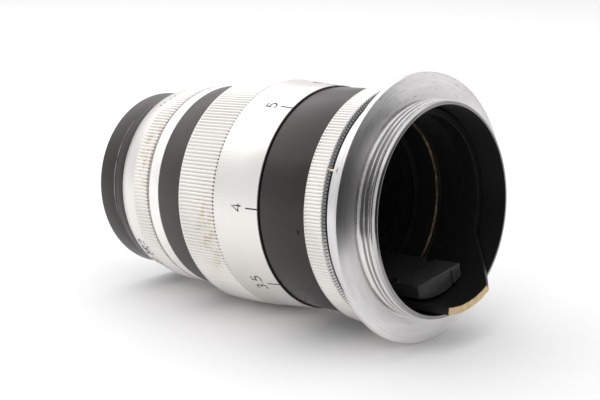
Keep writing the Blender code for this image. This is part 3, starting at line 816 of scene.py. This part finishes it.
def build_flange():
    """Collar with its 39 mm thread, flange and hub."""
    root = MOUNT_THREAD_R - 0.50
    land = MOUNT_THREAD_R - 0.15
    outside = soften([(HUB_R, HUB_FRONT, 0.1), (HUB_R, FLANGE_THICKNESS, 0.30),
                      (FLANGE_R, FLANGE_THICKNESS, 0.30), (FLANGE_R, 0.0, 0.16),
                      (root, 0.0, 0.12), (root, -0.75)])
    thread = thread_rows(MOUNT_THREAD_R, -0.80, -3.40, MOUNT_PITCH, 14, 0.30)
    inside = soften([(land, -3.50), (land, -COLLAR_LENGTH, 0.42), (MOUNT_BORE_R, -COLLAR_LENGTH, 0.16),
                     (MOUNT_BORE_R, 2.0), (20.15, 2.0), (20.15, HUB_FRONT)])
    flange = threaded("mount_flange_turned", outside + thread + inside, MOUNT_PITCH, 0.48, 320)
    for angle in SET_SCREW_ANGLES:
        at = lens_matrix(HUB_R, angle, SET_SCREW_S)
        cut_pin(flange, [(0.72, 2.0), (0.72, -2.5)], at, 24)
    finish_piece(flange, "flange_metal", "fixed_barrel", "flange_metal", "mount_flange")


def build_set_screws():
    """Three slotted grub screws in the hub."""
    for index, angle in enumerate(SET_SCREW_ANGLES, 1):
        at = lens_matrix(0, angle, SET_SCREW_S)
        outline = [(0.66, 21.26), (0.69, 21.22), (0.69, 20.25)]
        screw = pin_object(f"set_screw_slotted_{index}", outline, at, 24)
        cut_box(screw, (20.9, -0.09, -1), (21.5, 0.09, 1), at)
        finish_piece(screw, "screw_steel", "fixed_barrel", "screw_steel", f"flange_set_screw_{index}")


def grip_edge_radius(s):
    """Radius of the grip ring's rear chamfer, and of the hub behind it."""
    return max(HUB_R, 21.36 + 1.24 * (s - 5.12))


def build_witness_mark():
    """Short pale mark across the grip ring's chamfer, in line with the first set screw."""
    mark = line_path(SET_SCREW_ANGLES[0], 4.2, 5.5, grip_edge_radius, 8)
    engraved_marks("witness_mark", [mark], 0.34, "brass_mark", "fixed_barrel", "flange_metal")


def barrel_radius(s):
    """The barrel behind the focus ring is a plain cylinder."""
    return BARREL_R


def build_barrel():
    """Grip ring and glossy barrel with the sleeve that carries the focus ring."""
    grip = [(21.55, 9.6), (21.70, 9.6), (21.93, 9.42), (GRIP_R, 9.32), (GRIP_R, 9.20, 0.24),
            (GRIP_R, 5.62, 0.19), (21.88, 5.54, 0.40), (21.36, 5.12, 0.34), (21.32, 5.02),
            (20.4, 5.0), (20.4, 9.6)]
    finish_piece(knurled("rear_grip_knurled", grip, 212), "grip_knurl", "fixed_barrel", "satin_chrome",
                 "rear_grip_ring", sharp=40)
    barrel = turned("outer_barrel_turned", [
        (SLEEVE_R, 38.0, 0.12), (SLEEVE_R, BARREL_FRONT, 0.1), (BARREL_R, BARREL_FRONT, 0.18),
        (BARREL_R, 9.9, 0.15), (20.1, 9.9), (20.1, 5.0), (20.0, 5.0), (20.0, 2.3),
        (18.75, 2.3, 0.1), (18.75, 38.0, 0.1)])
    at = lens_matrix(0, STOP_SCREW_ANGLE, STOP_SCREW_S)
    cut_pin(barrel, [(0.80, 21.0), (0.80, 18.0)], at, 24)
    finish_piece(barrel, "black_gloss", "fixed_barrel", "black_gloss", "outer_barrel")


def build_depth_scale():
    """White index line with the depth-of-field lines and numbers on both sides of it."""
    marks = [line_path(INDEX_ANGLE, 12.2, 20.8, barrel_radius)]
    for stop in (4, 5.6, 8, 11, 16, 22):
        spread = BLUR * stop * DEG_PER_MM
        for side in (-1, 1):
            marks.append(line_path(INDEX_ANGLE + side * spread, 18.6, 20.8, barrel_radius, 3))
            if stop in (8, 16, 22):
                marks += text_paths(str(stop), 1.5, INDEX_ANGLE + side * spread, 17.0, barrel_radius)
    engraved_marks("depth_scale", marks, 0.20, "white_paint", "fixed_barrel", "black_gloss")


def build_guide_block():
    """Rectangular key inside the mount, held by two blackened screws, notched on its long edges."""
    place = lens_matrix(0, KEY_ANGLE, 0)
    half = 6.35
    block = box_object("guide_key", (12.4, -half, -1.3), (17.0, half, 30.0), place)
    bevel_edges(block, 0.16)
    core = pin_object("core", [(16.05, 40.0), (16.05, -10.0)], place @ X_TO_FRONT, 160)
    boolean(block, core, "INTERSECT")
    cut_box(block, (15.0, -3.0, 2.7), (18.4, 3.0, 8.3), place, "UNION")
    cut_box(block, (12.9, -3.85, -2.0), (15.8, -3.35, -0.8), place)
    for side in (5.6, -5.6):
        at = place @ Matrix.Translation((0, side * MM, 5.4 * MM))
        cut_pin(block, [(1.25, 13.6), (1.25, 11.5)], at)
    for index, s in enumerate((3.9, 7.1), 1):
        at = lens_matrix(0, KEY_ANGLE, s)
        cut_pin(block, [(0.75, 19.0), (0.75, 13.9), (1.27, 13.9), (1.27, 11.0)], at)
        screw = pin_object(f"block_screw_slotted_{index}", [
            (0.5, 18.2), (0.6, 18.1), (0.6, 13.7), (1.25, 13.7), (1.25, 12.42), (1.22, 12.40)], at)
        cut_box(screw, (12.0, -2, -0.07), (12.75, 2, 0.07), at)
        finish_piece(screw, "block_black", "fixed_barrel", "screw_steel", f"guide_block_screw_{index}")
    finish_piece(block, "block_black", "fixed_barrel", "black_matt", "guide_block")


# ---- rangefinder cam ----

def cam_edge(angle_deg):
    """Rear edge of the cam sleeve by angle, as in the CAD, with eased corners."""
    plain, low, high, slope_end = 0.62, -118.0, -78.0, -156.0
    rise = plain + CAM_TAB_REACH
    if slope_end < angle_deg < low:
        share = (angle_deg - slope_end) / (low - slope_end)
        return plain - share * rise
    if low <= angle_deg <= high:
        return -CAM_TAB_REACH
    if high < angle_deg < high + 5:
        share = (angle_deg - high) / 5
        return -CAM_TAB_REACH + share * rise
    return plain


def build_cam():
    """Sleeve with the tab that pushes the rangefinder arm; fine ribs inside.

    A row is (radius, s, 1 if it follows the rear edge).
    """
    angle = np.linspace(-math.pi, math.pi, 720, endpoint=False)
    edge = np.array([cam_edge(a) for a in np.degrees(angle)])
    rows = [(18.1, 22.2, 0), (18.1, 3.0, 0), (18.1, 0.12, 1), (18.0, 0.0, 1), (16.87, 0.0, 1),
            (16.77, 0.12, 1), (16.77, 3.0, 0)]
    ribs = []
    for i in range(12):
        s = 3.3 + i * 0.5
        ribs += [(16.77, s, 0), (16.77, s + 0.22, 0), (16.90, s + 0.30, 0), (16.90, s + 0.44, 0)]
    rows += ribs + [(16.77, 9.4, 0), (16.77, 9.8, 0), (17.4, 9.8, 0), (17.4, 22.2, 0)]
    rows = np.array(rows)
    height = rows[:, 1:2] + rows[:, 2:] * edge
    cam = ring_object("cam_sleeve_shaped", rows[:, :1], height, angle)
    cut_box(cam, (15.5, -3.3, -0.3), (19.0, 3.3, 8.6), lens_matrix(0, KEY_ANGLE, 0))
    finish_piece(cam, "cam_brass", "cam_sleeve", "cam_brass", "rangefinder_cam", sharp=35)


# ---- focusing parts ----

def build_focus_ring():
    """Focus ring with its knurl and the tapered part that bears the scale."""
    edge = KNURL_R - 0.30
    rows = [(19.95, 39.7), (19.95, 41.45), (20.0, KNURL_FRONT), (edge - 0.1, KNURL_FRONT),
            (edge + 0.02, 41.44), (KNURL_R - 0.03, 41.18), (KNURL_R, 41.05, 0.05), (KNURL_R, 40.90, 0.26),
            (KNURL_R, 32.30, 0.26), (KNURL_R - 0.01, 32.25, 0.45), (KNURL_R - 0.03, 31.95, 0.45),
            (KNURL_R - 0.13, 31.85, 0.05), (focus_radius(31.5), 31.5), (focus_radius(26.5), 26.5),
            (focus_radius(21.5), 21.5), (FOCUS_REAR_R - 0.12, FOCUS_REAR), (19.95, FOCUS_REAR),
            (19.95, 38.3), (18.85, 38.3), (18.85, 39.7)]
    ring = knurled("focus_ring_knurled", rows, 193)
    finish_piece(ring, "focus_knurl", "focus", "satin_chrome", "focus_ring", sharp=40)


def build_distance_scale():
    """Ticks and numerals in feet, from infinity down to 3.5."""
    ticks = [line_path(INFINITY_ANGLE, TICK_REAR, TICK_FRONT, focus_radius)]
    numerals = text_paths("~", NUMERAL_HEIGHT, INFINITY_ANGLE, 26.9, focus_radius)
    for feet in (3.5, 4, 5, 6, 7, 8, 10, 12, 15, 20, 30, 50):
        angle = distance_angle(feet)
        ticks.append(line_path(angle, TICK_REAR, TICK_FRONT, focus_radius))
        numerals += text_paths(f"{feet:g}", NUMERAL_HEIGHT, angle, 26.4, focus_radius)
    engraved_marks("distance_ticks", ticks, 0.27, "black_paint", "focus", "satin_chrome")
    engraved_marks("distance_numerals", numerals, 0.30, "black_paint", "focus", "satin_chrome")


def build_helicoid():
    """Brass helicoid: coarse thread outside, fine thread at its rear, four screw holes in front."""
    rows = [(19.7, 41.2), (19.7, 40.0), (18.6, 40.0)]
    rows += thread_rows(18.6, 39.5, 23.0, 2.2, 8)
    rows += [(18.6, 22.5), (17.2, 22.5)]
    rows += thread_rows(17.2, 22.0, 11.4, 1.0, 6)
    rows += [(17.2, HELICOID_REAR + 0.25), (17.0, HELICOID_REAR), (16.35, HELICOID_REAR),
             (16.3, HELICOID_REAR + 0.10), (16.3, 25.0), (17.35, 25.0), (17.35, 41.2)]
    helicoid = threaded("focus_helicoid_threaded", rows, 2.2, 0.35)
    for angle in (45, 135, 225, 315):
        cut_pin(helicoid, [(0.45, 2), (0.45, -4)], lens_matrix(19.2, angle, 41) @ X_TO_FRONT, 20)
    finish_piece(helicoid, "helicoid_brass", "focus", "brass", "focus_helicoid", sharp=35)


# ---- optical head ----

def build_head():
    """Head tube, black band and plain index ring."""
    rows = [(17.1, 47.4), (17.1, 41.4), (16.0, 41.4), (16.0, 38.5), (17.1, 38.5), (17.1, 25.3),
            (16.1, 25.3), (16.1, 14.1), (16.0, 14.0), (14.9, 14.0), (14.8, 14.1)]
    for groove in range(29):
        s = 14.6 + 0.6 * groove
        rows += [(14.8, s), (14.8, s + 0.18), (15.05, s + 0.30), (15.05, s + 0.48)]
    rows += [(14.8, 32.6), (14.8, 47.4)]
    tube = turned("head_tube_ribbed", rows, 192)
    cut_box(tube, (11.5, -6.6, 13.0), (18.0, 6.6, 31.5), lens_matrix(0, KEY_ANGLE, 0))
    finish_piece(tube, "black_matt", "head", "black_matt", "head_tube")
    band = turned("head_barrel_turned", [
        (HEAD_R, HEAD_FRONT, 0.15), (HEAD_R, HEAD_REAR, 0.12), (17.3, HEAD_REAR), (17.3, 47.6),
        (18.5, 47.6), (18.5, HEAD_FRONT)])
    finish_piece(band, "head_black", "head", "black_gloss", "head_barrel")
    ring = turned("index_ring_turned", [(INDEX_RING_R, 52.05, 0.15), (INDEX_RING_R, 49.4, 0.15),
                                        (18.5, 49.4), (18.5, 52.05)])
    finish_piece(ring, "satin_chrome", "head", "satin_chrome", "aperture_index_ring")
    index = line_path(INDEX_ANGLE, 49.9, 51.7, lambda s: INDEX_RING_R, 3)
    engraved_marks("aperture_index", [index], 0.30, "black_paint", "head", "satin_chrome")


def build_aperture_ring():
    """Knurled ring with the f-numbers and four small ticks near the red dot."""
    rows = [(18.5, 61.15), (18.55, 61.2), (19.0, 61.2), (19.1, 61.1), (band_radius(59.0), 59.0),
            (BAND_REAR_R, BAND_REAR), (19.95, 56.68), (20.07, 56.60, 0.05),
            (20.1, 56.45, 0.24), (20.1, 53.00, 0.24), (20.1, 52.95, 0.42), (20.07, 52.65, 0.42),
            (19.98, 52.55), (19.7, 52.50), (19.7, 52.35), (19.6, 52.3), (18.5, 52.3)]
    ring = knurled("aperture_ring_knurled", rows, 176)
    at = lens_matrix(0, DRIVE_SCREW_ANGLE, DRIVE_SCREW_S)
    cut_pin(ring, [(0.55, 21.0), (0.55, 18.0)], at, 24)
    finish_piece(ring, "aperture_knurl", "aperture", "satin_chrome", "aperture_ring", sharp=40)
    marks = []
    for stop in (3.5, 4, 5.6, 8, 11, 16, 22):
        angle = stop_angle(stop)
        marks += text_paths(f"{stop:g}", 2.1, angle, 58.9, band_radius)
        marks.append(line_path(angle, 57.0, 57.8, band_radius, 3))
    for angle, s in ((60.0, 58.6), (62.5, 58.3), (66.5, 57.9), (70.0, 57.7)):
        marks.append(line_path(angle, s - 0.35, s + 0.35, band_radius, 2))
    engraved_marks("stop_scale", marks, 0.32, "black_paint", "aperture", "satin_chrome")


def lens_surface(apex, curve_r, rim_r, points=14):
    """From the axis to the rim; a positive curve falls back towards the rear."""
    arc_points = []
    for i in range(points):
        radius = rim_r * i / (points - 1)
        sag = abs(curve_r) - math.sqrt(curve_r ** 2 - radius ** 2)
        arc_points.append((radius, apex - math.copysign(sag, curve_r)))
    return arc_points


def build_glass():
    """Five elements; each row is rim radius, front apex and curve, rear apex and curve."""
    elements = {
        "front_element": (15.2, 67.0, 42, 62.8, 120),
        "second_element": (12.6, 62.4, 36, 59.2, 600),
        "third_element": (10.8, 58.95, 600, 57.6, 20.5),
        "rear_inner_element": (10.2, 46.0, -22, 43.9, -60),
        "rear_outer_element": (11.0, 43.5, 50, 39.7, -40),
    }
    for name, (rim_r, front, front_curve, rear, rear_curve) in elements.items():
        outline = lens_surface(front, front_curve, rim_r) + lens_surface(rear, rear_curve, rim_r)[::-1]
        finish_piece(solid_turned(name + "_ground", outline), "glass", "head", "glass", name)


def build_front():
    """Front cell, filter ring with its thread, retaining ring with spanner notches, red dot."""
    cell = turned("front_cell_turned", [
        (18.3, 64.3, 0.1), (18.9, 61.5, 0.12), (16.8, 61.5), (16.8, 56.6), (11.1, 56.6, 0.1),
        (11.1, 59.05), (12.8, 59.05), (12.8, 61.5), (15.4, 61.5), (15.4, 64.3)])
    finish_piece(cell, "cell_black", "head", "black_satin", "front_cell")
    rows = soften([(17.15, FRONT_RIM, 0.08), (18.0, FRONT_RIM, 0.22), (18.0, 64.6, 0.12), (17.0, 64.6)])
    rows += thread_rows(17.0, 65.2, 69.2, FILTER_PITCH, 6)
    ring = threaded("filter_ring_threaded", rows, FILTER_PITCH, 0.26, inside=True)
    finish_piece(ring, "black_satin", "head", "black_satin", "filter_ring", sharp=35)
    retainer = turned("front_retainer_turned", [
        (16.75, 67.3, 0.1), (16.75, 64.65), (14.6, 64.65), (14.6, 65.6, 0.1)])
    for side in (0, 180):
        cut_box(retainer, (15.4, -0.5, 66.2), (17.5, 0.5, 69), lens_matrix(0, side, 0))
    finish_piece(retainer, "black_satin", "head", "black_satin", "front_retaining_ring")
    at = lens_matrix(18.80, 63, 61.95)
    dot = pin_object("red_dot", [(0.22, 0.02), (0.32, -0.02), (0.32, -0.3)], at, 24)
    finish_piece(dot, "red_paint", "head", "black_satin")


def build_rear_group():
    """Rear cell, its retaining ring with spanner notches, and the light baffle."""
    cell = turned("rear_cell_turned", [
        (12.4, 48.8, 0.1), (12.4, 47.2), (14.6, 47.2, 0.1), (14.6, 45.5, 0.1), (12.4, 45.5),
        (12.4, 38.6, 0.15), (11.2, 38.6, 0.1), (11.2, 44.15), (10.4, 44.15), (10.4, 48.8)], 160)
    finish_piece(cell, "black_matt", "head", "black_matt", "rear_cell")
    ring = turned("rear_retainer_turned", [(12.2, 38.3, 0.1), (12.2, 37.2, 0.15), (9.6, 37.2, 0.4),
                                           (9.6, 38.3)], 160)
    for side in (0, 180):
        cut_box(ring, (10.8, -0.5, 36), (13, 0.5, 37.8), lens_matrix(0, side, 0))
    finish_piece(ring, "black_matt", "head", "black_matt", "rear_retaining_ring")
    baffle = turned("light_baffle_turned", [(14.6, 34.0), (14.6, 33.0), (11.6, 33.2, 0.1),
                                            (11.6, 33.5, 0.1)], 160)
    finish_piece(baffle, "black_matt", "head", "black_matt", "light_baffle")


# ---- nodes kept from the CAD ----

def dress_cad_nodes():
    """CAD nodes that stay as they are get the finish of their slot."""
    finishes = {
        "focus_stop_screw": "screw_steel", "helicoid_thrust_ring": "brass", "rear_spacer": "black_matt",
        "iris_housing": "black_satin", "iris_cover": "black_matt", "iris_rotor": "brass",
        "aperture_drive_screw": "screw_steel",
    }
    for index in range(4):
        finishes[f"focus_ring_screw_{index + 1}"] = "screw_steel"
    for index in range(BLADE_COUNT):
        finishes[f"iris_blade_{index + 1:02d}"] = "blade_steel"
    for name, finish in finishes.items():
        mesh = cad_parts[name].data
        mesh.materials.clear()
        mesh.materials.append(MATERIALS[finish])


# ---- stage, light, camera ----

def build_stage():
    """White floor under the flange's edge and the focus ring's front edge, on which the lens rests."""
    rear_s, front_s = FLANGE_THICKNESS - 0.35, KNURL_FRONT - 0.3
    rear = Vector((0, SEAT_Y - rear_s * MM, AXIS_Z - FLANGE_R * MM))
    front = Vector((0, SEAT_Y - front_s * MM, AXIS_Z - KNURL_R * MM))
    slope = math.atan2(front.z - rear.z, rear.y - front.y)
    bpy.ops.mesh.primitive_plane_add(size=FLOOR_SIZE, location=rear, rotation=(-slope, 0, 0))
    floor = bpy.context.object
    floor.name = "floor"
    floor.data.materials.append(floor_material())


def build_black_card():
    """Black card behind the lens; only mirrored rays meet it, so it just darkens part of the metal."""
    corners = [(CARD_X[i], CARD_Y, CARD_Z[k]) for i, k in ((0, 0), (1, 0), (1, 1), (0, 1))]
    mesh = bpy.data.meshes.new("black_flag")
    mesh.from_pydata(corners, [], [(0, 1, 2, 3)])
    mesh.materials.append(new_material("black_card", Base_Color=(0.004, 0.004, 0.005), Roughness=0.9,
                                       Specular_IOR_Level=0.1))
    card = link_object("black_flag", mesh)
    card.visible_camera = False
    card.visible_diffuse = False
    card.visible_shadow = False


def add_area(name, location, target, size, power):
    """A white rectangular soft light that faces a point."""
    light = bpy.data.lights.new(name, "AREA")
    light.shape = "RECTANGLE"
    light.size, light.size_y = size
    light.energy = power
    obj = link_object(name, light)
    obj.location = location
    obj.rotation_euler = (Vector(target) - Vector(location)).to_track_quat("-Z", "Y").to_euler()
    return obj


def build_light():
    """White studio: even white sky, a big soft light overhead and a weaker one at the side."""
    scene = bpy.context.scene
    scene.view_settings.view_transform = "Standard"
    world = bpy.data.worlds.new("studio")
    scene.world = world
    world.use_nodes = True
    background = world.node_tree.nodes["Background"]
    background.inputs["Color"].default_value = (*SKY_COLOUR, 1.0)
    background.inputs["Strength"].default_value = SKY_STRENGTH
    add_area("top_softbox", (0.0, -0.24, 0.68), (0, 0, 0.02), (1.2, 1.2), TOP_POWER)
    fill = add_area("fill_softbox", (0.68, 0.0, 0.38), (0, 0, 0.02), (0.7, 0.5), FILL_POWER)
    fill.visible_glossy = False


def build_camera():
    """View from behind and from the +X side, a little above the axis."""
    camera = bpy.data.cameras.new("view")
    camera.sensor_width = 36.0
    camera.lens = 78.0
    camera.clip_start = 0.01
    obj = link_object("view", camera)
    obj.location = (180.97 * MM, 170.66 * MM, 68.62 * MM)
    obj.rotation_euler = [math.radians(a) for a in (79.574, 2.458, 132.804)]
    bpy.context.scene.camera = obj


build_camera()
build_flange()
build_set_screws()
build_witness_mark()
build_barrel()
build_depth_scale()
build_guide_block()
build_cam()
build_focus_ring()
build_distance_scale()
build_helicoid()
build_head()
build_aperture_ring()
build_glass()
build_front()
build_rear_group()
dress_cad_nodes()
build_stage()
build_black_card()
build_light()
